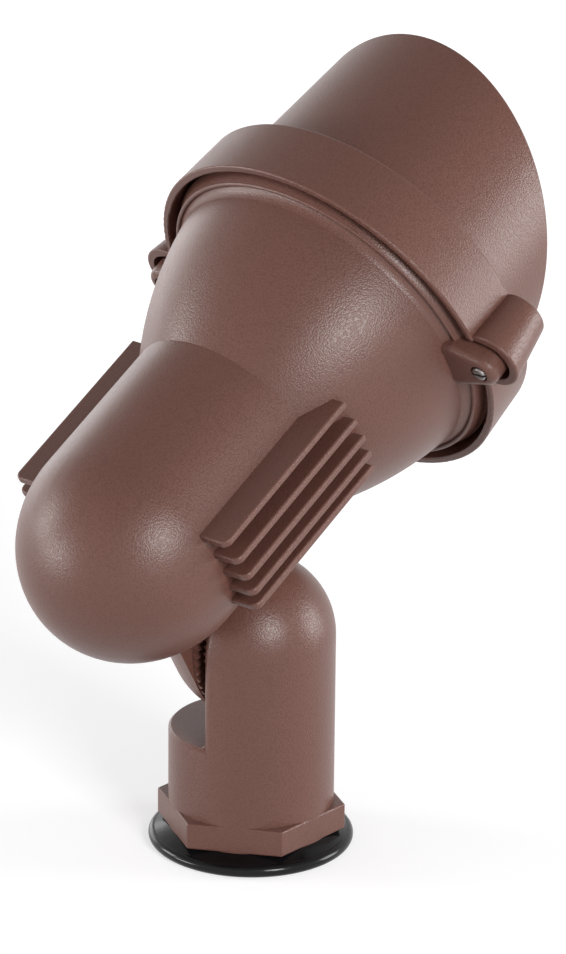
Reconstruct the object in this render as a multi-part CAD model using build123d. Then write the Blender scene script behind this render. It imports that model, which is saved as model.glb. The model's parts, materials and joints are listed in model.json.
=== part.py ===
from build123d import *
import os
from math import asin, cos, hypot, radians, sin, sqrt, tan

# Outdoor spotlight: a finned bullet housing on a toothed half-lap knuckle, with a slanted hood.
# Millimetres and degrees. The origin is the middle of the mounting gasket's underside, +Z is up,
# +X is the way the lamp aims and the knuckle turns about Y.

# Base, knuckle and stem
pivot_height = 42.2
knuckle_r = 15.875
face_setback = 1.2
floor_gap = 2.8
lap_edge_r = 1.6
lap_corner_r = 0.8
stub_chamfer = 0.5
hex_height = 5.2
hex_edge_r = 0.4
gasket_overhang = 1.37
gasket_thickness = 3.5
gasket_bead_r = 1.2
gasket_lip = 2.6
gasket_fit = 0.3
stem_r = 10.5
stem_length = 16.0
stem_relief = 0.9
stem_bore_r = 6.5
stem_bore_roof = 5.0
stem_chamfer = 1.0

# Teeth on the two knuckle faces
tooth_count = 60
tooth_margin = 0.2
tooth_land = 0.6
tooth_tip_gap = 0.15
tooth_valley = 0.06
tooth_root = 0.4

# Wire passage through the knuckle
cavity_r = 9.3
cavity_depth = 4.2
boss_r = 5.2
cable_r = 3.8
cable_offset = 6.9

# Pivot bolt and washers
bolt_r = 3.0
bolt_end_wall = 3.875
bolt_head_r = 4.8
bolt_head_height = 3.4
bolt_socket_r = 2.6
bolt_socket_depth = 2.0
bolt_hole_spare = 0.6
running_fit = 0.06
web_thickness = 2.8
pocket_gap = 0.7
washer_r = 6.3
washer_thickness = 1.0
lock_washer_r = 5.4
lock_washer_thickness = 1.3
lock_washer_split = 0.8
face_gap = 0.08
loose_fit = 0.3
cut_spare = 1.0

# Head housing, measured along its axis from the point above the pivot
rest_tilt = 30.0
head_clearance = 2.325
barrel_r = 21.8
wall = 2.2
dome_start = -13.7
dome_stretch = 1.7
bowl_start = 16.4
bowl_end = 44.2
bowl_rise = 1.5
flange_rise = 3.3
flange_cove = 1.4
flange_cove_depth = 0.2
flange_bead_r = 0.45
flange_band = 1.6
flange_slope = 2.2
flange_edge_r = 0.4
rim_depth = 6.8
rim_wall = 3.3

# Cooling fins
fin_count = 5
fin_pitch = 4.15
fin_thickness = 1.55
fin_height = 5.7
fin_overrun = 1.1
fin_reach = 6.2
fin_corner_r = 1.6
fin_edge_r = 0.45

# Ears and their captive screws
ear_stand = 1.4
ear_tip_r = 3.4
ear_sink = 2.9
ear_root_r = 5.0
ear_set = 2.2
ear_thickness = 4.5
ear_edge_r = 1.3
screw_r = 1.05
screw_tip_gap = 1.3
screw_head_r = 1.5
screw_head_height = 1.5
screw_sink = 1.2
screw_slot = 0.5
screw_slot_depth = 0.6
retainer_inset = 0.5
retainer_thickness = 0.8

# Hood, its length taken on its short lower side
collar_set = 0.8
collar_gap = 0.9
collar_taper = 0.8
collar_wall = 1.5
collar_front_wall = 2.2
collar_corner_r = 0.7
collar_edge_r = 0.4
hood_step = 4.8
hood_taper = 1.3
hood_wall = 2.0
hood_length = 1.21683
hood_slant = 28.5
hood_edge_r = 0.5
lug_wall = 1.7
lug_taper = 1.2
lug_front_shift = 1.4
lug_pocket = 3.6
lug_clearance = 1.1
lug_hole_floor = 2.5

# Lens and its gasket
lens_thickness = 3.2
lens_lip = 0.91
lens_grip = 2.6
lens_gasket_wall = 2.0

# Lampholder
post_height = 6.5
holder_floor = 3.6
holder_gap = 3.4
holder_shoulder = 3.6
holder_taper = 7.0
holder_wall = 2.5
holder_mouth_gap = 0.8
holder_post_r = 3.8
shell_thickness = 0.4
contact_r = 4.2
contact_height = 1.0
contact_gap = 0.2
holder_screw_r = 1.6
holder_screw_length = 8.6
holder_screw_head_r = 2.6
holder_screw_head_height = 1.4
post_hole_spare = 0.5

# Lamp
lamp_recess = 1.3
lamp_base_gap = 0.3
lamp_base_length = 21.5
lamp_button_r = 4.6
lamp_button_height = 1.4
lamp_collar_height = 3.4
lamp_collar_inset = 3.5
lamp_rim_r = 31.6
lamp_rim_gap = 0.5
lamp_rim_height = 2.6
lamp_side_gap = 0.8
lamp_glass = 1.6
lamp_neck_step = 1.2
lamp_face_dome = 2.0
lamp_seat = 0.8

os.makedirs("parts", exist_ok=True)

# Places and sizes worked out from the driving sizes: the base and the knuckle
face_y = face_setback
hex_corner_r = knuckle_r / cos(radians(30))
gasket_r = hex_corner_r + gasket_overhang
cut_floor = pivot_height - knuckle_r - floor_gap
tooth_outer_r = knuckle_r - lap_edge_r - tooth_margin
tooth_inner_r = cavity_r + tooth_land
bolt_reach = knuckle_r - bolt_end_wall
pocket_r = washer_r + pocket_gap
pocket_y = face_y + cavity_depth + web_thickness
washer_y = pocket_y + face_gap
lock_washer_y = washer_y + washer_thickness
bolt_head_y = lock_washer_y + lock_washer_thickness

# The housing, round the lamp
head_offset = knuckle_r + head_clearance + barrel_r
rim_bore_r = lamp_rim_r + lamp_rim_gap
flange_r = rim_bore_r + rim_wall
bowl_end_r = flange_r - flange_rise
bead_centre_r = flange_r - flange_band
flange_back = bowl_end + flange_cove
rim_front = flange_back + rim_depth
dome_length = barrel_r + dome_stretch
dome_back = dome_start - dome_length
fin_r = barrel_r + fin_height
fin_back = dome_start - fin_overrun
fin_front = bowl_start + fin_reach

# The hood and the lens, round the housing's flange
collar_back = flange_back + collar_set
collar_back_r = flange_r + collar_gap + collar_wall
collar_front_r = collar_back_r - collar_taper
lens_gasket_back = rim_front + face_gap
lens_back = lens_gasket_back + lens_lip
collar_inner_front = lens_back + lens_thickness + lens_lip
collar_front = collar_inner_front + collar_front_wall
lens_gasket_r = collar_front_r - collar_wall - loose_fit
lens_r = lens_gasket_r - lens_gasket_wall
lens_gasket_lip_r = lens_r - lens_grip
hood_back_r = collar_front_r - hood_step
hood_cut = collar_front + hood_length + hood_back_r * tan(radians(hood_slant))

# The ears, their screws and the hood's lugs
ear_centre = collar_back_r + ear_stand
ear_root = flange_r - ear_sink
ear_back = flange_back - ear_set
ear_front = ear_back + ear_thickness
lug_back_r = ear_tip_r + lug_clearance + lug_wall
lug_front_r = lug_back_r - lug_taper
lug_hole_end = collar_front - lug_hole_floor
screw_seat = ear_back + screw_sink
retainer_r = ear_tip_r - retainer_inset

# The lampholder and the lamp, inside the housing
holder_back = dome_back + wall + post_height
holder_floor_s = holder_back + holder_floor
holder_r = barrel_r - wall - holder_gap
holder_back_r = holder_r - holder_shoulder
holder_post = contact_r + holder_screw_head_r + contact_gap
shell_r = holder_r - holder_wall
lamp_back = holder_floor_s + contact_height
lamp_front = rim_front - lamp_recess
lamp_face_back = lamp_front - lamp_face_dome
lamp_rim_back = lamp_face_back - lamp_rim_height
rim_bore_back = lamp_rim_back - lamp_rim_gap
lamp_collar_front = lamp_back + lamp_button_height + lamp_collar_height
lamp_base_front = lamp_collar_front + lamp_base_length
holder_front = lamp_base_front - holder_mouth_gap
lamp_base_r = shell_r - running_fit - shell_thickness - lamp_base_gap
lamp_collar_r = lamp_base_r - lamp_collar_inset
lamp_neck_r = lamp_base_r + lamp_neck_step

# The two sides of the head
sides = {"left": 1, "right": -1}


def on_head(shape):
    """Carry a shape from the head's own frame, axis along X, to its place at the rest tilt."""
    return Pos(0, 0, pivot_height) * Rot(0, -rest_tilt, 0) * Pos(0, 0, head_offset) * shape


def turned(*edges):
    """Turn a closed outline, drawn with X along the axis and Y outward, about the X axis."""
    return revolve(make_face(edges), axis=Axis.X)


def turned_points(*points):
    """Turn a closed polygon about the X axis."""
    return revolve(make_face(Polyline(*points, close=True)), axis=Axis.X)


def rod(radius, start, end, y=0.0, z=0.0):
    """A round rod along X from start to end."""
    return Pos((start + end) / 2, y, z) * Rot(0, 90, 0) * Cylinder(radius, end - start)


def cross_rod(radius, start, end):
    """A round rod along Y from start to end, on the knuckle's turning axis."""
    return Pos(0, (start + end) / 2, 0) * Rot(90, 0, 0) * Cylinder(radius, end - start)


def half_space(side, start):
    """The block that holds everything beyond start on one side of the knuckle's middle plane."""
    size = 4 * (pivot_height + knuckle_r)
    return Pos(0, side * (start + size / 2), 0) * Box(size, size, size)


def tooth_outline(radius):
    """One tooth's section at a radius, its foot sunk into the face below it."""
    half = radius * sin(radians(180 / tooth_count)) - tooth_valley / 2
    height = (face_setback - tooth_tip_gap) * radius / tooth_outer_r
    section = Polyline(
        (-half, -tooth_root), (half, -tooth_root), (half, 0), (0, height), (-half, 0), close=True)
    return Plane((radius, 0, 0), x_dir=(0, 1, 0), z_dir=(1, 0, 0)) * make_face(section)


def knuckle_teeth(side, phase, outer_r):
    """The ring of radial teeth on one face, pointing at the middle plane and ending at the ball's surface."""
    ball = Pos(0, 0, face_y) * Sphere(knuckle_r - tooth_margin)
    tooth = loft([tooth_outline(tooth_inner_r), tooth_outline(outer_r)]) & ball
    step = 360 / tooth_count
    ring = [Rot(0, 0, (k + phase) * step) * tooth for k in range(tooth_count)]
    return [Pos(0, side * face_y, 0) * Rot(side * 90, 0, 0) * one for one in ring]


def wire_cavity(side):
    """The ring-shaped hollow round the bolt's boss, open at the toothed face."""
    outer = cross_rod(cavity_r, 0, face_y + cavity_depth)
    inner = cross_rod(boss_r, -cavity_depth, 2 * cavity_depth)
    return Rot(0, 0, 0 if side > 0 else 180) * (outer - inner)


def make_knuckle_base():
    """The cast base: stem, hexagon, round column and the half ball with its toothed face."""
    stem = Pos(0, 0, -stem_length / 2) * Cylinder(stem_r, stem_length)
    stem = chamfer(stem.edges().group_by(Axis.Z)[0], stem_chamfer)
    relief = Pos(0, 0, gasket_thickness / 2) * Cylinder(stem_r - stem_relief, gasket_thickness)
    hexagon = extrude(RegularPolygon(hex_corner_r, 6), hex_height)
    hexagon = Pos(0, 0, gasket_thickness) * fillet(hexagon.edges(), hex_edge_r)
    column_length = pivot_height - gasket_thickness
    column = Pos(0, 0, gasket_thickness + column_length / 2) * Cylinder(knuckle_r, column_length)
    ball = Pos(0, 0, pivot_height) * Sphere(knuckle_r)
    cheek = (column + ball) & half_space(-1, face_y)
    lap = cheek.faces().filter_by(Axis.Y).sort_by(Axis.Y)[-1]
    cheek = fillet(lap.edges().sort_by(Axis.Z)[1:], lap_edge_r)
    stub_height = cut_floor - gasket_thickness
    stub = Pos(0, 0, gasket_thickness + stub_height / 2) * Cylinder(knuckle_r, stub_height)
    post = chamfer(stub.edges().group_by(Axis.Z)[-1], stub_chamfer) + cheek
    floor = post.faces().filter_by(Axis.Z).sort_by(Axis.Z)[-1]
    post = fillet(floor.edges().filter_by(GeomType.LINE), lap_corner_r)
    body = stem + relief + hexagon + post

    bore_top = cut_floor - stem_bore_roof
    bore = Pos(0, 0, (bore_top - stem_length) / 2) * Cylinder(stem_bore_r, bore_top + stem_length)
    cable_bottom = bore_top - cable_r
    cable_length = pivot_height - cable_bottom
    cable = Pos(0, -cable_offset, cable_bottom + cable_length / 2) * Cylinder(cable_r, cable_length)
    at_pivot = Pos(0, 0, pivot_height)
    boss = at_pivot * cross_rod(boss_r, -face_y - cavity_depth - cable_r, -face_y)
    bolt_hole = at_pivot * cross_rod(bolt_r + running_fit, -bolt_reach - bolt_hole_spare, 0)
    body = body - bore - cable - at_pivot * wire_cavity(-1) + boss - bolt_hole
    return body + [at_pivot * tooth for tooth in knuckle_teeth(-1, 0, tooth_outer_r)]


def make_mounting_gasket():
    """The rubber ring under the hexagon, with a round bead at its rim and a sloping top."""
    inner_r = stem_r + gasket_fit
    bead_x = gasket_r - gasket_bead_r
    shoulder_x = bead_x - gasket_lip
    outline = [
        Line((inner_r, 0), (bead_x, 0)),
        ThreePointArc((bead_x, 0), (gasket_r, gasket_bead_r), (bead_x, 2 * gasket_bead_r)),
        Line((bead_x, 2 * gasket_bead_r), (shoulder_x, gasket_thickness)),
        Line((shoulder_x, gasket_thickness), (inner_r, gasket_thickness)),
        Line((inner_r, gasket_thickness), (inner_r, 0)),
    ]
    return revolve(Plane.XZ * make_face(outline), axis=Axis.Z)


def make_pivot_bolt():
    """The bolt on the turning axis, its head on the left and a hexagon socket in the head."""
    head = cross_rod(bolt_head_r, bolt_head_y, bolt_head_y + bolt_head_height)
    shank = cross_rod(bolt_r, -bolt_reach, bolt_head_y)
    socket_y = bolt_head_y + bolt_head_height - bolt_socket_depth
    socket = Rot(-90, 0, 0) * extrude(RegularPolygon(bolt_socket_r, 6), bolt_head_height)
    socket = Pos(0, socket_y, 0) * socket
    return Pos(0, 0, pivot_height) * (head + shank - socket)


def make_pivot_washer(radius, thickness, start):
    """A flat ring on the bolt."""
    ring = cross_rod(radius, start, start + thickness) - cross_rod(bolt_r, 0, start + 2 * thickness)
    return Pos(0, 0, pivot_height) * ring


def make_lock_washer():
    """The split ring under the bolt's head."""
    ring = make_pivot_washer(lock_washer_r, lock_washer_thickness, lock_washer_y)
    split = Box(lock_washer_split, stem_r, 2 * lock_washer_r)
    split = Pos(0, lock_washer_y, pivot_height + lock_washer_r) * split
    return ring - split


def bowl_circle():
    """Centre and radius of the bowl's outer curve, from its two ends and its rise off their chord."""
    along = bowl_end - bowl_start
    out = bowl_end_r - barrel_r
    chord = hypot(along, out)
    radius = (chord * chord / 4 + bowl_rise * bowl_rise) / (2 * bowl_rise)
    drop = radius - bowl_rise
    centre_s = (bowl_start + bowl_end) / 2 + drop * out / chord
    centre_r = (barrel_r + bowl_end_r) / 2 - drop * along / chord
    return centre_s, centre_r, radius


def bowl_arc(start, end, inset):
    """The bowl's curve between two places on the axis, moved inward by inset."""
    centre_s, centre_r, radius = bowl_circle()

    def point(s):
        return s, centre_r + sqrt((radius - inset) ** 2 - (s - centre_s) ** 2)

    return ThreePointArc(point(start), point((start + end) / 2), point(end))


def housing_skin():
    """The housing's outer form: domed barrel, bowl, cove, fine bead and the flange's sloping band."""
    bowl_foot = (bowl_end, bowl_end_r)
    bead_s = flange_back + flange_bead_r
    bead_inner = (bead_s, bead_centre_r - flange_bead_r)
    bead_outer = (bead_s, bead_centre_r + flange_bead_r)
    along = bead_inner[0] - bowl_foot[0]
    out = bead_inner[1] - bowl_foot[1]
    sag = flange_cove_depth / hypot(along, out)
    cove_middle = (bowl_foot[0] + along / 2 + sag * out, bowl_foot[1] + out / 2 - sag * along)
    band_end = (bead_s + flange_slope, flange_r - flange_edge_r)
    rim_back = (bead_s + flange_slope + flange_edge_r, flange_r)
    return turned(
        Line((dome_back, 0), (rim_front, 0)),
        Line((rim_front, 0), (rim_front, flange_r)),
        Line((rim_front, flange_r), rim_back),
        Line(rim_back, band_end),
        Line(band_end, bead_outer),
        ThreePointArc(bead_outer, (flange_back, bead_centre_r), bead_inner),
        ThreePointArc(bead_inner, cove_middle, bowl_foot),
        bowl_arc(bowl_start, bowl_end, 0),
        Line((bowl_start, barrel_r), (dome_start, barrel_r)),
        EllipticalCenterArc((dome_start, 0), dome_length, barrel_r, start_angle=90, arc_size=90),
    )


def housing_hollow():
    """The space inside the housing, open at the front rim."""
    centre_s, centre_r, radius = bowl_circle()
    inner_r = barrel_r - wall
    inner_bowl = centre_s - sqrt((radius - wall) ** 2 - (inner_r - centre_r) ** 2)
    bowl = bowl_arc(inner_bowl, bowl_end, wall)
    mouth = rim_front + wall
    rear = dome_back + wall
    return turned(
        Line((rear, 0), (mouth, 0)),
        Line((mouth, 0), (mouth, rim_bore_r)),
        Line((mouth, rim_bore_r), (rim_bore_back, rim_bore_r)),
        Line((rim_bore_back, rim_bore_r), bowl @ 1),
        bowl,
        Line((inner_bowl, inner_r), (dome_start, inner_r)),
        EllipticalCenterArc((dome_start, 0), dome_length - wall, inner_r, start_angle=90, arc_size=90),
    )


def cooling_fins():
    """Flat round-edged fins across the barrel, their outer edges on one round envelope."""
    middle = (fin_count - 1) / 2
    fins = []
    for k in range(fin_count):
        height = (k - middle) * fin_pitch
        reach = sqrt(fin_r * fin_r - height * height)
        outline = make_face(Polyline(
            (fin_back, -reach), (fin_front, -reach), (fin_front, reach), (fin_back, reach), close=True))
        outline = fillet(outline.vertices().group_by(Axis.X)[0], fin_corner_r)
        plate = Pos(0, 0, height - fin_thickness / 2) * extrude(outline, fin_thickness)
        rims = plate.edges().group_by(Axis.Z)
        fins.append(fillet(rims[0] + rims[-1], fin_edge_r))
    return fins


def ear_block(side, start, end, grow):
    """The ear's tongue, a round tip with tangent sides, grown by a clearance and drawn out along the axis."""
    root_r = ear_root_r + grow
    tip_r = ear_tip_r + grow
    lean = asin((root_r - tip_r) / (ear_centre - ear_root))
    root_y = side * (ear_root + root_r * sin(lean))
    root_z = root_r * cos(lean)
    tip_y = side * (ear_centre + tip_r * sin(lean))
    tip_z = tip_r * cos(lean)
    foot_y = side * (bowl_end_r - wall)
    outline = make_face([
        Line((foot_y, -root_z), (foot_y, root_z)),
        Line((foot_y, root_z), (root_y, root_z)),
        Line((root_y, root_z), (tip_y, tip_z)),
        ThreePointArc((tip_y, tip_z), (side * (ear_centre + tip_r), 0), (tip_y, -tip_z)),
        Line((tip_y, -tip_z), (root_y, -root_z)),
        Line((root_y, -root_z), (foot_y, -root_z)),
    ])
    block = extrude(outline, end - start, dir=(0, 0, 1))
    return Plane((start, 0, 0), x_dir=(0, 1, 0), z_dir=(1, 0, 0)) * block


def make_ear(side):
    """An ear with a rounded rear rim."""
    ear = ear_block(side, ear_back, ear_front, 0)
    return fillet(ear.faces().sort_by(Axis.X)[0].edges(), ear_edge_r)


def make_housing():
    """The cast head: barrel, bowl, fins, ears, lampholder posts and the turning half of the knuckle."""
    skin = housing_skin()
    pivot = Pos(0, 0, -head_offset)
    neck = Pos(0, 0, -head_offset / 2) * Cylinder(knuckle_r, head_offset) + pivot * Sphere(knuckle_r)
    half = neck & half_space(1, face_y)
    ears = [make_ear(side) for side in sides.values()]
    posts = [rod(holder_post_r, dome_back, holder_back, y=side * holder_post) & skin
             for side in sides.values()]
    body = skin + cooling_fins() + half + ears - housing_hollow() + posts

    cable = Pos(0, cable_offset, -head_offset / 2) * Cylinder(cable_r, head_offset)
    boss = pivot * cross_rod(boss_r, face_y, pocket_y)
    pocket = pivot * cross_rod(pocket_r, pocket_y, 2 * knuckle_r)
    bolt_hole = pivot * cross_rod(bolt_r + running_fit, 0, 2 * pocket_y)
    body = body - cable - pivot * wire_cavity(1) + boss - pocket - bolt_hole
    body = body + [pivot * tooth for tooth in knuckle_teeth(1, 0.5, knuckle_r)]

    post_hole_end = holder_floor_s - holder_screw_length - post_hole_spare
    for side in sides.values():
        body = body - rod(holder_screw_r, post_hole_end, holder_back, y=side * holder_post)
        body = body - rod(screw_r + loose_fit, ear_back, ear_front + cut_spare, y=side * ear_centre)
        body = body - rod(screw_head_r + loose_fit, ear_back - cut_spare, screw_seat, y=side * ear_centre)
    return on_head(body)


def make_lug(side):
    """The round, tapered lug that takes an ear and its screw."""
    start = collar_back + collar_edge_r
    back = Plane((start, side * ear_centre, 0), x_dir=(0, 1, 0), z_dir=(1, 0, 0)) * Circle(lug_back_r)
    front_y = side * (ear_centre - lug_front_shift)
    front = Plane((collar_front, front_y, 0), x_dir=(0, 1, 0), z_dir=(1, 0, 0)) * Circle(lug_front_r)
    lug = loft([back, front])
    lug = fillet(lug.edges().group_by(Axis.X)[-1], collar_corner_r)
    return fillet(lug.edges().group_by(Axis.X)[0], collar_edge_r)


def make_hood():
    """The cast hood: collar with lugs, front wall and a tube cut on a slant, longest on top."""
    corner = collar_corner_r
    corner_bend = corner * (1 - cos(radians(45)))
    edge = collar_edge_r
    edge_bend = edge * (1 - cos(radians(45)))
    blank_end = hood_cut + hood_back_r * tan(radians(hood_slant)) + hood_wall
    blank_r = hood_back_r - hood_taper * (blank_end - collar_front) / (hood_cut - collar_front)
    skin = turned(
        Line((collar_back, 0), (collar_back, collar_back_r - edge)),
        ThreePointArc((collar_back, collar_back_r - edge),
                      (collar_back + edge_bend, collar_back_r - edge_bend),
                      (collar_back + edge, collar_back_r)),
        Line((collar_back + edge, collar_back_r), (collar_front - corner, collar_front_r)),
        ThreePointArc((collar_front - corner, collar_front_r),
                      (collar_front - corner_bend, collar_front_r - corner_bend),
                      (collar_front, collar_front_r - corner)),
        Line((collar_front, collar_front_r - corner), (collar_front, hood_back_r)),
        Line((collar_front, hood_back_r), (blank_end, blank_r)),
        Line((blank_end, blank_r), (blank_end, 0)),
        Line((blank_end, 0), (collar_back, 0)),
    )

    bore_r = collar_back_r - collar_wall
    tube_bore_r = hood_back_r - hood_wall
    inside = turned(
        Line((collar_back - cut_spare, 0), (collar_back - cut_spare, bore_r + edge)),
        Line((collar_back - cut_spare, bore_r + edge), (collar_back, bore_r + edge)),
        ThreePointArc((collar_back, bore_r + edge),
                      (collar_back + edge_bend, bore_r + edge_bend),
                      (collar_back + edge, bore_r)),
        Line((collar_back + edge, bore_r), (collar_inner_front, collar_front_r - collar_wall)),
        Line((collar_inner_front, collar_front_r - collar_wall), (collar_inner_front, tube_bore_r)),
        Line((collar_inner_front, tube_bore_r), (blank_end + cut_spare, blank_r - hood_wall)),
        Line((blank_end + cut_spare, blank_r - hood_wall), (blank_end + cut_spare, 0)),
        Line((blank_end + cut_spare, 0), (collar_back - cut_spare, 0)),
    )
    cut_size = 4 * collar_back_r
    slant = Pos(cut_size / 2, 0, 0) * Box(cut_size, cut_size, cut_size)
    slant = Pos(hood_cut, 0, 0) * Rot(0, hood_slant, 0) * slant
    body = skin - inside - slant
    rim = body.faces().filter_by(GeomType.PLANE).sort_by(Axis.X)[-1]
    body = fillet(rim.edges(), hood_edge_r)
    for side in sides.values():
        body = body + (make_lug(side) - inside)
        body = body - ear_block(side, collar_back - cut_spare, ear_front + lug_pocket, lug_clearance)
        body = body - rod(screw_r + loose_fit, ear_front, lug_hole_end, y=side * ear_centre)
    return on_head(body)


def make_lens():
    """The flat front glass."""
    return on_head(rod(lens_r, lens_back, lens_back + lens_thickness))


def make_lens_gasket():
    """The channel-shaped rubber ring round the glass."""
    front = collar_inner_front
    ring = rod(lens_gasket_r, lens_gasket_back, front)
    ring = ring - rod(lens_gasket_lip_r, lens_gasket_back - cut_spare, front + cut_spare)
    return on_head(ring - rod(lens_r, lens_back, lens_back + lens_thickness))


def make_hood_screw(side):
    """A captive slotted screw, its head sunk in an ear, that reaches into the hood's lug."""
    y = side * ear_centre
    head_back = screw_seat - screw_head_height
    head = rod(screw_head_r, head_back, screw_seat, y=y)
    head = fillet(head.edges().group_by(Axis.X)[0], screw_head_height / 3)
    slot = Pos(head_back, y, 0) * Box(2 * screw_slot_depth, 3 * screw_head_r, screw_slot)
    return on_head(head + rod(screw_r, screw_seat, lug_hole_end - screw_tip_gap, y=y) - slot)


def make_screw_retainer(side):
    """The push-on ring that keeps a hood screw in its ear."""
    y = side * ear_centre
    ring = rod(retainer_r, ear_front, ear_front + retainer_thickness, y=y)
    return on_head(ring - rod(screw_r, ear_front - cut_spare, ear_front + 2 * retainer_thickness, y=y))


def make_socket_body():
    """The porcelain lampholder, with countersunk screw holes in its floor."""
    body = turned_points(
        (holder_back, 0),
        (holder_back, holder_back_r),
        (holder_back + holder_taper, holder_r),
        (holder_front, holder_r),
        (holder_front, shell_r),
        (holder_floor_s, shell_r),
        (holder_floor_s, 0),
    )
    for side in sides.values():
        y = side * holder_post
        body = body - rod(holder_screw_r, holder_back - cut_spare, holder_floor_s, y=y)
        body = body - rod(holder_screw_head_r, holder_floor_s - holder_screw_head_height, holder_floor_s, y=y)
    return on_head(body)


def make_socket_shell():
    """The metal sleeve that takes the lamp's base."""
    outer_r = shell_r - running_fit
    start = holder_floor_s + holder_screw_head_height
    bore = rod(outer_r - shell_thickness, start - cut_spare, holder_front + cut_spare)
    return on_head(rod(outer_r, start, holder_front) - bore)


def make_socket_contact():
    """The spring contact in the middle of the lampholder's floor."""
    button = rod(contact_r, holder_floor_s, lamp_back)
    return on_head(fillet(button.edges().group_by(Axis.X)[-1], contact_height / 3))


def make_socket_screw(side):
    """A screw through the lampholder's floor into the housing's post."""
    y = side * holder_post
    head = rod(holder_screw_head_r, holder_floor_s - holder_screw_head_height, holder_floor_s, y=y)
    tip = holder_floor_s - holder_screw_length
    slot = Pos(holder_floor_s, y, 0) * Box(holder_screw_head_height, 3 * holder_screw_head_r, screw_slot)
    return on_head(head + rod(holder_screw_r, tip, holder_floor_s - holder_screw_head_height, y=y) - slot)


def lamp_side(inset):
    """The lamp glass's flared side, one gap inside the bowl's wall, moved inward by inset."""
    centre_s, centre_r, radius = bowl_circle()
    depth = wall + lamp_side_gap + inset
    neck_r = lamp_neck_r - inset
    neck_end = centre_s - sqrt((radius - depth) ** 2 - (neck_r - centre_r) ** 2)
    return bowl_arc(neck_end, lamp_rim_back, depth)


def make_lamp_reflector():
    """The lamp's glass body, hollow behind its face."""
    outer = lamp_side(0)
    inner = lamp_side(lamp_glass)
    mouth = (lamp_face_back, (inner @ 1).Y)
    floor = lamp_base_front + lamp_glass
    return on_head(turned(
        Line((lamp_base_front, 0), (lamp_base_front, lamp_neck_r)),
        Line((lamp_base_front, lamp_neck_r), outer @ 0),
        outer,
        Line(outer @ 1, (lamp_rim_back, lamp_rim_r)),
        Line((lamp_rim_back, lamp_rim_r), (lamp_face_back, lamp_rim_r)),
        Line((lamp_face_back, lamp_rim_r), mouth),
        Line(mouth, inner @ 1),
        inner,
        Line(inner @ 0, (floor, lamp_neck_r - lamp_glass)),
        Line((floor, lamp_neck_r - lamp_glass), (floor, 0)),
        Line((floor, 0), (lamp_base_front, 0)),
    ))


def make_lamp_face():
    """The lamp's slightly domed front glass."""
    back = lamp_face_back
    edge = back + lamp_seat
    rise = lamp_front - edge
    dome_r = (lamp_rim_r * lamp_rim_r + rise * rise) / (2 * rise)
    half_angle = asin(lamp_rim_r / dome_r) / 2
    middle = (lamp_front - dome_r * (1 - cos(half_angle)), dome_r * sin(half_angle))
    return on_head(turned(
        Line((back, 0), (back, lamp_rim_r)),
        Line((back, lamp_rim_r), (edge, lamp_rim_r)),
        ThreePointArc((edge, lamp_rim_r), middle, (lamp_front, 0)),
        Line((lamp_front, 0), (back, 0)),
    ))


def make_lamp_base_shell():
    """The lamp's metal screw base, a closed cup."""
    body = rod(lamp_base_r, lamp_collar_front, lamp_base_front)
    bore = rod(lamp_base_r - lamp_glass, lamp_collar_front + lamp_glass, lamp_base_front + cut_spare)
    return on_head(body - bore)


def make_lamp_base_collar():
    """The black glass between the lamp's screw base and its centre contact."""
    start = lamp_back + lamp_button_height
    return on_head(turned_points(
        (start, 0),
        (start, lamp_button_r),
        (lamp_collar_front, lamp_collar_r),
        (lamp_collar_front, 0),
    ))


def make_lamp_contact():
    """The lamp's centre contact."""
    return on_head(rod(lamp_button_r, lamp_back, lamp_back + lamp_button_height))


pieces = {
    "knuckle_base": make_knuckle_base(),
    "mounting_gasket": make_mounting_gasket(),
    "pivot_bolt": make_pivot_bolt(),
    "pivot_flat_washer": make_pivot_washer(washer_r, washer_thickness, washer_y),
    "pivot_lock_washer": make_lock_washer(),
    "housing": make_housing(),
    "socket_body": make_socket_body(),
    "socket_shell": make_socket_shell(),
    "socket_contact": make_socket_contact(),
    "lamp_reflector": make_lamp_reflector(),
    "lamp_face": make_lamp_face(),
    "lamp_base_shell": make_lamp_base_shell(),
    "lamp_base_collar": make_lamp_base_collar(),
    "lamp_contact": make_lamp_contact(),
    "hood": make_hood(),
    "lens": make_lens(),
    "lens_gasket": make_lens_gasket(),
}
for name, side in sides.items():
    pieces[f"hood_screw_{name}"] = make_hood_screw(side)
    pieces[f"screw_retainer_{name}"] = make_screw_retainer(side)
    pieces[f"socket_screw_{name}"] = make_socket_screw(side)

for name, piece in pieces.items():
    export_step(piece, f"parts/{name}.step")
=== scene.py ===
import json
from math import cos, pi, radians, sin

import bmesh
import bpy
from bpy.props import BoolProperty, FloatProperty, FloatVectorProperty, IntProperty, PointerProperty
from mathutils import Matrix, Vector


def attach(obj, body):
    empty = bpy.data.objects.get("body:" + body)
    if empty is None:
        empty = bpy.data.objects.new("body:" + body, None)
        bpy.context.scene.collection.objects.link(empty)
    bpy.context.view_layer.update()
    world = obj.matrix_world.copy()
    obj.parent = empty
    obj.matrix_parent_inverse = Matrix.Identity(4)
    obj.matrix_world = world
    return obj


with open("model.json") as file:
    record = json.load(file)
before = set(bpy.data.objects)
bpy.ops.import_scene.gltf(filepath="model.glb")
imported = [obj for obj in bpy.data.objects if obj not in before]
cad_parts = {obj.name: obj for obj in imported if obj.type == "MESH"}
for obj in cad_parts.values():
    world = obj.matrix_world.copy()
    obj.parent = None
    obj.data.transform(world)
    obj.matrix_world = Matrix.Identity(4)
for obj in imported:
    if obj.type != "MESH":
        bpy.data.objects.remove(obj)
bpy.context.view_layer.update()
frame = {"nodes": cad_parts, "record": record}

bl_info = {
    "name": "Outdoor spotlight dresser",
    "version": (1, 0, 0),
    "blender": (4, 5, 0),
    "location": "3D View > Sidebar > Spotlight",
    "description": "Finishes, thread and stage for a hooded outdoor spotlight on a toothed knuckle",
    "category": "Object",
}

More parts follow.
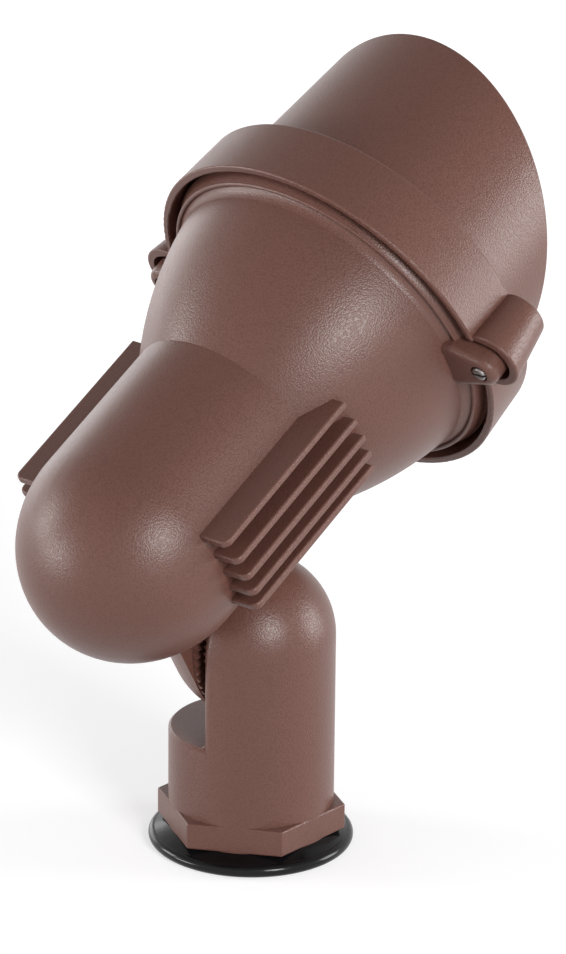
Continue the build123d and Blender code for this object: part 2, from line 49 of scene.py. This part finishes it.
MILLIMETRE = 0.001
PHOTO_LONG_SIDE = 954       # pixels
SENSOR_WIDTH = 36.0         # millimetres
FAR_CLIP = 50.0             # metres
NODES = frame["nodes"]
STEM = next(mount for mount in frame["record"]["mounts"] if mount["name"] == "stem")
STEM_RADIUS = STEM["dims"]["r_mm"] * MILLIMETRE
STEM_LENGTH = STEM["dims"]["length_mm"] * MILLIMETRE

CASTINGS = ("knuckle_base", "housing", "hood")
STEEL_NODES = (
    "pivot_bolt", "pivot_flat_washer", "pivot_lock_washer",
    "screw_retainer_left", "screw_retainer_right", "socket_screw_left", "socket_screw_right",
)
HOOD_SCREWS = ("hood_screw_left", "hood_screw_right")
BRASS_NODES = ("socket_shell", "socket_contact", "lamp_base_shell", "lamp_contact")

COAT_ROUGHNESS_SPREAD = 0.14
INSULATOR_DEEP, INSULATOR_LIGHT = (0.008, 0.008, 0.010), (0.020, 0.020, 0.024)
GLASS_TINT, GLASS_CLEAR = (0.93, 0.96, 0.95), (0.98, 0.99, 0.985)
GLASS_IOR = 1.5
FLOOR_GREY = (0.58, 0.58, 0.59)

# The thread's section, in pitches, and the share of a turn over which its ends run out
HALF_FOOT = 0.42
HALF_CREST = 0.08
RUN_OUT = 1 / 3

# Sines of the heights at which the backdrop ends and the ceiling starts
BACKDROP_TOP = 0.35
CEILING_START = 0.75


class SpotlightFinish(bpy.types.PropertyGroup):
    """Colours and grain of the light's finishes."""

    coat_deep: FloatVectorProperty(
        name="Coat deep", description="Colour of the powder coat between its grains",
        subtype="COLOR", size=3, min=0, max=1, default=(0.116, 0.048, 0.035))
    coat_light: FloatVectorProperty(
        name="Coat light", description="Colour of the powder coat on top of its grains",
        subtype="COLOR", size=3, min=0, max=1, default=(0.152, 0.068, 0.052))
    coat_grain: FloatProperty(
        name="Coat grain", description="Width of one grain of the powder coat",
        subtype="DISTANCE", unit="LENGTH", default=0.00036, min=0.0001, max=0.005)
    coat_roughness: FloatProperty(
        name="Coat roughness", description="Lowest roughness of the powder coat",
        subtype="FACTOR", default=0.31, min=0, max=1)
    rubber_black: FloatVectorProperty(
        name="Rubber", description="Colour of the mounting gasket",
        subtype="COLOR", size=3, min=0, max=1, default=(0.006, 0.006, 0.007))
    silicone_grey: FloatVectorProperty(
        name="Silicone", description="Colour of the lens gasket",
        subtype="COLOR", size=3, min=0, max=1, default=(0.030, 0.029, 0.029))
    steel: FloatVectorProperty(
        name="Steel", description="Colour of the bolt, washers and lampholder screws",
        subtype="COLOR", size=3, min=0, max=1, default=(0.60, 0.60, 0.62))
    dark_steel: FloatVectorProperty(
        name="Dark steel", description="Colour of the hood's captive screws",
        subtype="COLOR", size=3, min=0, max=1, default=(0.35, 0.33, 0.32))
    brass: FloatVectorProperty(
        name="Brass", description="Colour of the lampholder's and lamp's metal shells",
        subtype="COLOR", size=3, min=0, max=1, default=(0.78, 0.60, 0.30))
    porcelain: FloatVectorProperty(
        name="Porcelain", description="Colour of the lampholder",
        subtype="COLOR", size=3, min=0, max=1, default=(0.84, 0.83, 0.79))
    silvering: FloatVectorProperty(
        name="Silvering", description="Colour of the lamp's silvered glass",
        subtype="COLOR", size=3, min=0, max=1, default=(0.80, 0.81, 0.83))


class SpotlightThread(bpy.types.PropertyGroup):
    """Sizes of the thread on the stem."""

    pitch: FloatProperty(
        name="Pitch", description="Rise of the stem's thread in one turn",
        subtype="DISTANCE", unit="LENGTH", default=25.4 / 14 * MILLIMETRE, min=0.0005, max=0.005)
    crest: FloatProperty(
        name="Crest", description="Height of the thread above the stem",
        subtype="DISTANCE", unit="LENGTH", default=0.3 * MILLIMETRE, min=0.0001, max=0.002)
    steps: IntProperty(
        name="Steps", description="Sections in one turn of the thread",
        default=72, min=12, max=360)


class SpotlightStage(bpy.types.PropertyGroup):
    """Camera, lights and floor."""

    aim: FloatVectorProperty(
        name="Aim", description="Point that the camera looks at",
        subtype="XYZ", unit="LENGTH", size=3, default=(0.01126, 0.00246, 0.06997))
    azimuth: FloatProperty(
        name="Azimuth", description="Turn of the camera round the light",
        subtype="ANGLE", default=radians(-49.12))
    elevation: FloatProperty(
        name="Elevation", description="Height of the camera above the horizon",
        subtype="ANGLE", default=radians(20.03))
    roll: FloatProperty(
        name="Roll", description="Lean of the camera",
        subtype="ANGLE", default=radians(0.58))
    distance: FloatProperty(
        name="Distance", description="From the aim to the camera",
        subtype="DISTANCE", unit="LENGTH", default=0.9105, min=0.1)
    focal_pixels: FloatProperty(
        name="Focal length", description="Focal length in pixels of the photograph",
        default=4809.0, min=100)
    floor_size: FloatProperty(
        name="Floor", description="Half the width of the floor",
        subtype="DISTANCE", unit="LENGTH", default=6.0, min=0.5)
    floor_glow: FloatProperty(
        name="Floor glow", description="White added at the floor's middle, where it is seen directly",
        subtype="FACTOR", default=0.56, min=0, max=1)
    floor_fade: FloatProperty(
        name="Floor fade", description="Distance from the middle at which the floor has turned plain white",
        subtype="DISTANCE", unit="LENGTH", default=0.9, min=0.1)
    sky_light: FloatProperty(
        name="Sky light", description="Strength of the backdrop's light on the object",
        subtype="FACTOR", default=0.40, min=0, max=1)
    ceiling: FloatProperty(
        name="Ceiling", description="Brightness overhead beside that of the backdrop",
        subtype="FACTOR", default=0.50, min=0, max=1)
    show_background: BoolProperty(
        name="White ground", description="Let the floor look white where it is seen directly",
        default=True)


def link(tree, source, output, target, name):
    """Join one node's output to another node's input."""
    tree.links.new(source.outputs[output], target.inputs[name])


def new_material(name):
    """A material with a Principled shader, and that shader."""
    material = bpy.data.materials.new(name)
    material.use_nodes = True
    return material, material.node_tree.nodes["Principled BSDF"]


def dress(material, *names):
    """Give CAD nodes a material in every slot."""
    for name in names:
        slots = NODES[name].material_slots
        for slot in slots:
            slot.material = material
        if not slots:
            NODES[name].data.materials.append(material)


def grain_group():
    """Fine grains and slow clouds over a surface: a mask for colour and roughness, and a height."""
    existing = bpy.data.node_groups.get("Surface grain")
    if existing:
        return existing
    group = bpy.data.node_groups.new("Surface grain", "ShaderNodeTree")
    for name in ("Grain size", "Cloud size", "Cloud share"):
        group.interface.new_socket(name=name, in_out="INPUT", socket_type="NodeSocketFloat")
    for name in ("Mask", "Height"):
        group.interface.new_socket(name=name, in_out="OUTPUT", socket_type="NodeSocketFloat")
    entry = group.nodes.new("NodeGroupInput")
    leave = group.nodes.new("NodeGroupOutput")
    place = group.nodes.new("ShaderNodeTexCoord")

    def texture_of_size(kind, size_name):
        """A texture on the object's own coordinates with features of an input's size."""
        scale = group.nodes.new("ShaderNodeMath")
        scale.operation = "DIVIDE"
        scale.inputs[0].default_value = 1.0
        link(group, entry, size_name, scale, 1)
        texture = group.nodes.new(kind)
        link(group, place, "Object", texture, "Vector")
        link(group, scale, "Value", texture, "Scale")
        return texture

    def ramp(texture, output, zero_at, one_at):
        """A texture's value, stretched to run from 0 to 1."""
        steps = group.nodes.new("ShaderNodeMapRange")
        steps.inputs["From Min"].default_value = zero_at
        steps.inputs["From Max"].default_value = one_at
        link(group, texture, output, steps, "Value")
        return steps

    bumps = texture_of_size("ShaderNodeTexVoronoi", "Grain size")
    grain = ramp(bumps, "Distance", 0.80, 0.15)
    patches = texture_of_size("ShaderNodeTexNoise", "Cloud size")
    patches.inputs["Detail"].default_value = 3.0
    cloud = ramp(patches, "Fac", 0.25, 0.75)
    blend = group.nodes.new("ShaderNodeMix")
    link(group, entry, "Cloud share", blend, "Factor")
    link(group, grain, "Result", blend, "A")
    link(group, cloud, "Result", blend, "B")
    link(group, blend, "Result", leave, "Mask")
    link(group, grain, "Result", leave, "Height")
    return group


def place_grain(material, grain_size, cloud_size, cloud_share):
    """Put the grain group into a material with its own sizes."""
    node = material.node_tree.nodes.new("ShaderNodeGroup")
    node.node_tree = grain_group()
    node.inputs["Grain size"].default_value = grain_size
    node.inputs["Cloud size"].default_value = cloud_size
    node.inputs["Cloud share"].default_value = cloud_share
    return node


def vary_colour(material, shader, grain, low, high):
    """Let the base colour run between two colours with the grain."""
    tree = material.node_tree
    mix = tree.nodes.new("ShaderNodeMix")
    mix.data_type = "RGBA"
    colour_inputs = [s for s in mix.inputs if s.type == "RGBA"]
    colour_inputs[0].default_value = (*low, 1)
    colour_inputs[1].default_value = (*high, 1)
    link(tree, grain, "Mask", mix, "Factor")
    result = next(s for s in mix.outputs if s.type == "RGBA")
    tree.links.new(result, shader.inputs["Base Color"])


def vary_roughness(material, shader, grain, low, high):
    """Let the roughness run between two values with the grain."""
    tree = material.node_tree
    ramp = tree.nodes.new("ShaderNodeMapRange")
    ramp.inputs["To Min"].default_value = low
    ramp.inputs["To Max"].default_value = high
    link(tree, grain, "Mask", ramp, "Value")
    link(tree, ramp, "Result", shader, "Roughness")


def raise_surface(material, shader, grain, depth, strength):
    """Bump the surface with the grain."""
    tree = material.node_tree
    bump = tree.nodes.new("ShaderNodeBump")
    bump.inputs["Strength"].default_value = strength
    bump.inputs["Distance"].default_value = depth
    link(tree, grain, "Height", bump, "Height")
    link(tree, bump, "Normal", shader, "Normal")


def grained(name, low, high, roughness, grain_size, cloud_size, cloud_share,
            bump_depth=0.0, bump_strength=0.0):
    """A material whose colour, roughness and height run with the grain, and its shader."""
    material, shader = new_material(name)
    grain = place_grain(material, grain_size, cloud_size, cloud_share)
    vary_colour(material, shader, grain, low, high)
    vary_roughness(material, shader, grain, *roughness)
    if bump_depth:
        raise_surface(material, shader, grain, bump_depth, bump_strength)
    return material, shader


def darker(colour, share):
    """A colour with its light cut to a share."""
    return tuple(channel * share for channel in colour)


class SPOTLIGHT_OT_coat_castings(bpy.types.Operator):
    """Give the base, the housing and the hood their textured powder coat"""

    bl_idname = "spotlight.coat_castings"
    bl_label = "Coat castings"

    def execute(self, context):
        finish = context.scene.spotlight_finish
        coat, shader = grained(
            "textured bronze coat", finish.coat_deep, finish.coat_light,
            roughness=(finish.coat_roughness, finish.coat_roughness + COAT_ROUGHNESS_SPREAD),
            grain_size=finish.coat_grain, cloud_size=0.035, cloud_share=0.25,
            bump_depth=0.05 * MILLIMETRE, bump_strength=0.5)
        shader.inputs["Specular IOR Level"].default_value = 0.40
        dress(coat, *CASTINGS)
        return {"FINISHED"}


class SPOTLIGHT_OT_lay_gaskets(bpy.types.Operator):
    """Give the mounting gasket and the lens gasket their rubber"""

    bl_idname = "spotlight.lay_gaskets"
    bl_label = "Lay gaskets"

    def execute(self, context):
        finish = context.scene.spotlight_finish
        rubber, shader = grained(
            "black rubber", darker(finish.rubber_black, 0.6), finish.rubber_black, roughness=(0.12, 0.24),
            grain_size=0.0012, cloud_size=0.02, cloud_share=0.6,
            bump_depth=0.03 * MILLIMETRE, bump_strength=0.15)
        shader.inputs["Specular IOR Level"].default_value = 0.25
        dress(rubber, "mounting_gasket")
        silicone, shader = grained(
            "dark silicone", darker(finish.silicone_grey, 0.8), finish.silicone_grey, roughness=(0.45, 0.6),
            grain_size=0.0008, cloud_size=0.02, cloud_share=0.6,
            bump_depth=0.03 * MILLIMETRE, bump_strength=0.2)
        dress(silicone, "lens_gasket")
        return {"FINISHED"}


class SPOTLIGHT_OT_finish_fasteners(bpy.types.Operator):
    """Give the bolt, the washers and the lampholder's screws bright steel and the hood's screws dark steel"""

    bl_idname = "spotlight.finish_fasteners"
    bl_label = "Finish fasteners"

    def execute(self, context):
        finish = context.scene.spotlight_finish
        steel, shader = grained(
            "stainless steel", darker(finish.steel, 0.8), finish.steel, roughness=(0.22, 0.42),
            grain_size=0.0003, cloud_size=0.004, cloud_share=0.5,
            bump_depth=0.02 * MILLIMETRE, bump_strength=0.2)
        shader.inputs["Metallic"].default_value = 1.0
        dress(steel, *STEEL_NODES)
        dark, shader = grained(
            "dark steel", darker(finish.dark_steel, 0.6), finish.dark_steel, roughness=(0.30, 0.50),
            grain_size=0.0003, cloud_size=0.003, cloud_share=0.5,
            bump_depth=0.02 * MILLIMETRE, bump_strength=0.3)
        shader.inputs["Metallic"].default_value = 1.0
        dress(dark, *HOOD_SCREWS)
        return {"FINISHED"}


class SPOTLIGHT_OT_fit_lampholder(bpy.types.Operator):
    """Give the lampholder its porcelain and the metal shells their brass"""

    bl_idname = "spotlight.fit_lampholder"
    bl_label = "Fit lampholder"

    def execute(self, context):
        finish = context.scene.spotlight_finish
        porcelain, shader = grained(
            "glazed porcelain", darker(finish.porcelain, 0.93), finish.porcelain, roughness=(0.10, 0.22),
            grain_size=0.004, cloud_size=0.02, cloud_share=0.7,
            bump_depth=0.05 * MILLIMETRE, bump_strength=0.1)
        dress(porcelain, "socket_body")
        brass, shader = grained(
            "brass shell", darker(finish.brass, 0.75), finish.brass, roughness=(0.18, 0.34),
            grain_size=0.0006, cloud_size=0.012, cloud_share=0.7,
            bump_depth=0.02 * MILLIMETRE, bump_strength=0.15)
        shader.inputs["Metallic"].default_value = 1.0
        dress(brass, *BRASS_NODES)
        return {"FINISHED"}


class SPOTLIGHT_OT_fit_lamp(bpy.types.Operator):
    """Give the lamp its silvered body and black insulator"""

    bl_idname = "spotlight.fit_lamp"
    bl_label = "Fit lamp"

    def execute(self, context):
        finish = context.scene.spotlight_finish
        silver, shader = grained(
            "silvered lamp glass", darker(finish.silvering, 0.88), finish.silvering, roughness=(0.08, 0.2),
            grain_size=0.003, cloud_size=0.02, cloud_share=0.6)
        shader.inputs["Metallic"].default_value = 0.9
        dress(silver, "lamp_reflector")
        insulator, shader = grained(
            "black insulator", INSULATOR_DEEP, INSULATOR_LIGHT, roughness=(0.12, 0.25),
            grain_size=0.001, cloud_size=0.01, cloud_share=0.5)
        dress(insulator, "lamp_base_collar")
        return {"FINISHED"}


class SPOTLIGHT_OT_glaze_lens(bpy.types.Operator):
    """Give the front lens and the lamp's face their glass"""

    bl_idname = "spotlight.glaze_lens"
    bl_label = "Glaze lens"

    def execute(self, context):
        for name, node, roughness in (("clear lens glass", "lens", (0.01, 0.05)),
                                      ("prismatic lamp glass", "lamp_face", (0.08, 0.20))):
            glass, shader = grained(
                name, GLASS_TINT, GLASS_CLEAR, roughness,
                grain_size=0.002, cloud_size=0.03, cloud_share=0.7)
            shader.inputs["Transmission Weight"].default_value = 1.0
            shader.inputs["IOR"].default_value = GLASS_IOR
            dress(glass, node)
        return {"FINISHED"}


def helix_ridge(radius, crest, pitch, top, bottom, steps):
    """A mesh of one helical ridge round the Z axis between two heights, its ends run out to nothing."""
    mesh = bmesh.new()
    count = int((top - bottom - pitch) / pitch * steps)
    rings = []
    for k in range(count + 1):
        turn = 2 * pi * k / steps
        height = top - pitch / 2 - pitch * k / steps
        run_out = min(1.0, k / (steps * RUN_OUT), (count - k) / (steps * RUN_OUT))
        out = Vector((cos(turn), sin(turn), 0))
        foot = radius - crest / 2
        tip = radius + crest * run_out
        profile = ((foot, pitch * HALF_FOOT), (tip, pitch * HALF_CREST),
                   (tip, -pitch * HALF_CREST), (foot, -pitch * HALF_FOOT))
        rings.append([mesh.verts.new(out * r + Vector((0, 0, height + z))) for r, z in profile])
    for a, b in zip(rings, rings[1:]):
        for i in range(4):
            j = (i + 1) % 4
            mesh.faces.new((a[i], a[j], b[j], b[i]))
    mesh.faces.new(rings[0][::-1])
    mesh.faces.new(rings[-1])
    bmesh.ops.recalc_face_normals(mesh, faces=mesh.faces)
    return mesh


class SPOTLIGHT_OT_cut_stem_thread(bpy.types.Operator):
    """Add the thread round the stem"""

    bl_idname = "spotlight.cut_stem_thread"
    bl_label = "Cut stem thread"

    def execute(self, context):
        thread = context.scene.spotlight_thread
        ridge = helix_ridge(STEM_RADIUS, thread.crest, thread.pitch, 0.0, -STEM_LENGTH, thread.steps)
        mesh = bpy.data.meshes.new("stem_thread")
        ridge.to_mesh(mesh)
        ridge.free()
        piece = bpy.data.objects.new("stem_thread", mesh)
        context.scene.collection.objects.link(piece)
        mesh.materials.append(bpy.data.materials["textured bronze coat"])
        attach(piece, "base")
        return {"FINISHED"}


def seen_directly(tree):
    """A node that gives 1 on camera, glossy and transmission rays and 0 on the rest."""
    path = tree.nodes.new("ShaderNodeLightPath")
    mirrored = tree.nodes.new("ShaderNodeMath")
    mirrored.operation = "MAXIMUM"
    link(tree, path, "Is Camera Ray", mirrored, 0)
    link(tree, path, "Is Glossy Ray", mirrored, 1)
    seen = tree.nodes.new("ShaderNodeMath")
    seen.operation = "MAXIMUM"
    link(tree, mirrored, "Value", seen, 0)
    link(tree, path, "Is Transmission Ray", seen, 1)
    return seen


class SPOTLIGHT_OT_build_stage(bpy.types.Operator):
    """Add the floor, the lights, the world and the camera"""

    bl_idname = "spotlight.build_stage"
    bl_label = "Build stage"

    def execute(self, context):
        stage = context.scene.spotlight_stage
        self.add_floor(context, stage)
        self.set_world(context, stage)
        right, up, forward = self.camera_axes(stage)
        self.add_camera(context, stage, right, up, forward)
        self.add_lights(context, stage, right, up, forward)
        context.scene.view_settings.view_transform = "Standard"
        return {"FINISHED"}

    @staticmethod
    def camera_axes(stage):
        """The camera's right, up and forward directions."""
        back = Vector((sin(stage.azimuth) * cos(stage.elevation),
                       -cos(stage.azimuth) * cos(stage.elevation),
                       sin(stage.elevation)))
        forward = -back
        right = forward.cross(Vector((0, 0, 1))).normalized()
        up = right.cross(forward)
        lean = Matrix.Rotation(stage.roll, 3, back)
        return lean @ right, lean @ up, forward

    @staticmethod
    def add_camera(context, stage, right, up, forward):
        """The camera at the photograph's viewing angle."""
        data = bpy.data.cameras.new("photo_camera")
        data.sensor_width = SENSOR_WIDTH
        data.lens = stage.focal_pixels * SENSOR_WIDTH / PHOTO_LONG_SIDE
        data.clip_end = FAR_CLIP
        camera = bpy.data.objects.new("photo_camera", data)
        turn = Matrix((right, up, -forward)).transposed().to_4x4()
        camera.matrix_world = Matrix.Translation(Vector(stage.aim) - forward * stage.distance) @ turn
        context.scene.collection.objects.link(camera)
        context.scene.camera = camera

    @staticmethod
    def add_lights(context, stage, right, up, forward):
        """A key light beside the camera, soft boxes on the left and right, and a rim light behind."""
        aim = Vector(stage.aim)
        # Name, metres to the right of, above and before the aim, width and height in metres, and watts
        boxes = (
            ("key_light", (0.43, 0.06, 0.90), (0.30, 0.30), 6.8),
            ("soft_box_left", (-0.95, -0.07, 0.25), (0.40, 0.15), 3.4),
            ("soft_box_high_left", (-1.00, 0.30, -0.10), (0.35, 0.35), 3.9),
            ("soft_box_right", (1.00, 0.10, -0.05), (0.40, 0.60), 7.3),
            ("rim_light", (-0.60, 0.40, -0.75), (0.60, 0.50), 1.8),
        )
        for name, (across, above, before), (width, height), power in boxes:
            offset = right * across + up * above - forward * before
            data = bpy.data.lights.new(name, "AREA")
            data.shape = "RECTANGLE"
            data.size = width
            data.size_y = height
            data.energy = power
            lamp = bpy.data.objects.new(name, data)
            turn = (-offset).to_track_quat("-Z", "Y").to_matrix().to_4x4()
            lamp.matrix_world = Matrix.Translation(aim + offset) @ turn
            context.scene.collection.objects.link(lamp)

    @staticmethod
    def add_floor(context, stage):
        """The pale floor that carries the shadow."""
        half = stage.floor_size
        mesh = bpy.data.meshes.new("floor")
        corners = [(-half, -half, 0), (half, -half, 0), (half, half, 0), (-half, half, 0)]
        mesh.from_pydata(corners, [], [(0, 1, 2, 3)])
        floor = bpy.data.objects.new("floor", mesh)
        context.scene.collection.objects.link(floor)
        material, shader = new_material("pale floor")
        shader.inputs["Base Color"].default_value = (*FLOOR_GREY, 1)
        shader.inputs["Roughness"].default_value = 0.9
        shader.inputs["Specular IOR Level"].default_value = 0.0
        if stage.show_background:
            tree = material.node_tree
            place = tree.nodes.new("ShaderNodeTexCoord")
            distance = tree.nodes.new("ShaderNodeVectorMath")
            distance.operation = "LENGTH"
            link(tree, place, "Object", distance, 0)
            whiteness = tree.nodes.new("ShaderNodeMapRange")
            whiteness.inputs["From Max"].default_value = stage.floor_fade
            whiteness.inputs["To Min"].default_value = stage.floor_glow
            link(tree, distance, "Value", whiteness, "Value")
            level = tree.nodes.new("ShaderNodeMath")
            level.operation = "MULTIPLY"
            link(tree, seen_directly(tree), "Value", level, 0)
            link(tree, whiteness, "Result", level, 1)
            glow = tree.nodes.new("ShaderNodeEmission")
            link(tree, level, "Value", glow, "Strength")
            total = tree.nodes.new("ShaderNodeAddShader")
            link(tree, shader, "BSDF", total, 0)
            link(tree, glow, "Emission", total, 1)
            link(tree, total, "Shader", tree.nodes["Material Output"], "Surface")
        mesh.materials.append(material)

    @staticmethod
    def set_world(context, stage):
        """A pale backdrop all round under a dim ceiling, white where it is seen directly."""
        world = bpy.data.worlds.new("studio")
        context.scene.world = world
        world.use_nodes = True
        tree = world.node_tree
        place = tree.nodes.new("ShaderNodeTexCoord")
        direction = tree.nodes.new("ShaderNodeSeparateXYZ")
        link(tree, place, "Generated", direction, "Vector")
        backdrop = tree.nodes.new("ShaderNodeMapRange")
        backdrop.inputs["From Min"].default_value = BACKDROP_TOP
        backdrop.inputs["From Max"].default_value = CEILING_START
        backdrop.inputs["To Min"].default_value = 1.0
        backdrop.inputs["To Max"].default_value = stage.ceiling
        link(tree, direction, "Z", backdrop, "Value")
        level = tree.nodes.new("ShaderNodeMapRange")
        level.inputs["To Min"].default_value = stage.sky_light
        level.inputs["To Max"].default_value = 1.0
        link(tree, seen_directly(tree), "Value", level, "Value")
        strength = tree.nodes.new("ShaderNodeMath")
        strength.operation = "MULTIPLY"
        link(tree, backdrop, "Result", strength, 0)
        link(tree, level, "Result", strength, 1)
        sky = tree.nodes["Background"]
        sky.inputs["Color"].default_value = (1, 1, 1, 1)
        link(tree, strength, "Value", sky, "Strength")


PIECE_OPERATORS = (
    SPOTLIGHT_OT_coat_castings,
    SPOTLIGHT_OT_lay_gaskets,
    SPOTLIGHT_OT_finish_fasteners,
    SPOTLIGHT_OT_fit_lampholder,
    SPOTLIGHT_OT_fit_lamp,
    SPOTLIGHT_OT_glaze_lens,
    SPOTLIGHT_OT_cut_stem_thread,
    SPOTLIGHT_OT_build_stage,
)


class SPOTLIGHT_PT_panel(bpy.types.Panel):
    """The sidebar panel with the spotlight's steps and settings"""

    bl_idname = "SPOTLIGHT_PT_panel"
    bl_label = "Spotlight"
    bl_space_type = "VIEW_3D"
    bl_region_type = "UI"
    bl_category = "Spotlight"

    def draw(self, context):
        for operator in PIECE_OPERATORS:
            self.layout.operator(operator.bl_idname)
        for settings in (context.scene.spotlight_finish, context.scene.spotlight_thread,
                         context.scene.spotlight_stage):
            box = self.layout.box()
            for name in settings.__annotations__:
                box.prop(settings, name)


CLASSES = (SpotlightFinish, SpotlightThread, SpotlightStage, *PIECE_OPERATORS, SPOTLIGHT_PT_panel)


def register():
    """Add the classes and the scene's settings."""
    for item in CLASSES:
        bpy.utils.register_class(item)
    bpy.types.Scene.spotlight_finish = PointerProperty(type=SpotlightFinish)
    bpy.types.Scene.spotlight_thread = PointerProperty(type=SpotlightThread)
    bpy.types.Scene.spotlight_stage = PointerProperty(type=SpotlightStage)


def unregister():
    """Remove the settings and the classes."""
    del bpy.types.Scene.spotlight_stage
    del bpy.types.Scene.spotlight_thread
    del bpy.types.Scene.spotlight_finish
    for item in reversed(CLASSES):
        bpy.utils.unregister_class(item)


def main():
    """Dress the light and build the stage."""
    register()
    bpy.ops.spotlight.coat_castings()
    bpy.ops.spotlight.lay_gaskets()
    bpy.ops.spotlight.finish_fasteners()
    bpy.ops.spotlight.fit_lampholder()
    bpy.ops.spotlight.fit_lamp()
    bpy.ops.spotlight.glaze_lens()
    bpy.ops.spotlight.cut_stem_thread()
    bpy.ops.spotlight.build_stage()


if __name__ == "__main__":
    main()
